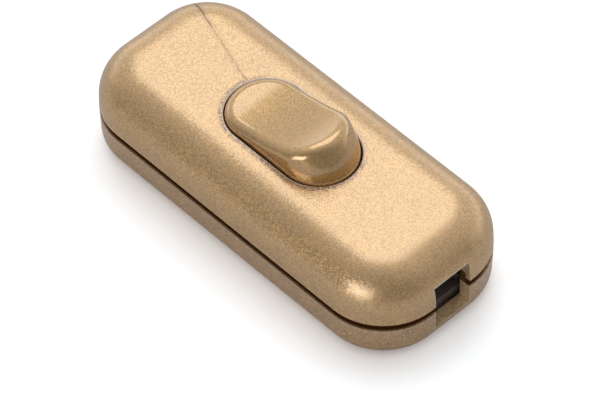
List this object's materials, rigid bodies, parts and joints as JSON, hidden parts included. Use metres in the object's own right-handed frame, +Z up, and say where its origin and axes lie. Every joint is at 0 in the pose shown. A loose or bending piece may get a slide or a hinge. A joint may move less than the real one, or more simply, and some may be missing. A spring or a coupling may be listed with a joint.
{
  "type": "inline cord switch",
  "caption": "Pillow-shaped two-shell inline cord switch with a rocker in a rounded opening, cord slots at both ends and a see-saw contact mechanism inside.",
  "frame": {"origin": "middle of the housing's flat underside", "axes": "+X along the housing towards the cord slot that the picture shows (right end), +Y across it away from the side that the picture shows, +Z up through the rocker"},
  "size_m": [0.062, 0.0266, 0.0197],
  "materials": {
    "housing_gold": "satin metallic gold, mass-coloured, fine sparkle grain",
    "rocker_gold": "semi-gloss metallic gold",
    "plunger_plastic": "natural nylon",
    "clamp_plastic": "grey-brown moulded plastic",
    "strip_copper": "rolled copper alloy strip",
    "terminal_brass": "drawn brass, lightly dulled",
    "contact_silver": "silver contact facing",
    "screw_steel": "zinc plated",
    "spring_steel": "drawn spring wire"
  },
  "bodies": {
    "housing": {"base_shell": "housing_gold", "cover_shell": "housing_gold", "fixed_contact": "contact_silver", "fixed_contact_strip": "terminal_brass", "pivot_bracket": "terminal_brass", "load_terminal": "terminal_brass", "load_terminal_screw": "screw_steel", "line_terminal": "terminal_brass", "line_terminal_screw": "screw_steel", "neutral_terminal": "terminal_brass", "neutral_screw_left": "screw_steel", "neutral_screw_right": "screw_steel", "cord_clamp_left": "clamp_plastic", "cord_clamp_right": "clamp_plastic", "clamp_screw_left_front": "screw_steel", "clamp_screw_left_rear": "screw_steel", "clamp_screw_right_front": "screw_steel", "clamp_screw_right_rear": "screw_steel", "housing_screw_left": "screw_steel", "housing_screw_right": "screw_steel"},
    "rocker": {"rocker": "rocker_gold", "plunger_spring": "spring_steel"},
    "plunger": {"plunger": "plunger_plastic"},
    "see_saw": {"contact_arm": "strip_copper", "moving_contact": "contact_silver"}
  },
  "joints": [
    {"name": "rocker_hinge", "type": "hinge", "parent": "housing", "child": "rocker", "pos_m": [0, 0, 0.012], "axis": [0, 1, 0], "range_deg": [0, 27]},
    {"name": "plunger_slide", "type": "slide", "parent": "rocker", "child": "plunger", "axis": [-0.2334, 0, 0.9724], "range_m": [0, 0.001], "stiffness_N_per_m": 400, "deforming": ["plunger_spring"]},
    {"name": "see_saw_hinge", "type": "hinge", "parent": "housing", "child": "see_saw", "pos_m": [0, 0, 0.0042], "axis": [0, 1, 0], "range_deg": [-14, 0]}
  ],
  "couplings": [
    {"joint": "see_saw_hinge", "follows": "rocker_hinge", "ratio": -0.51852}
  ]
}
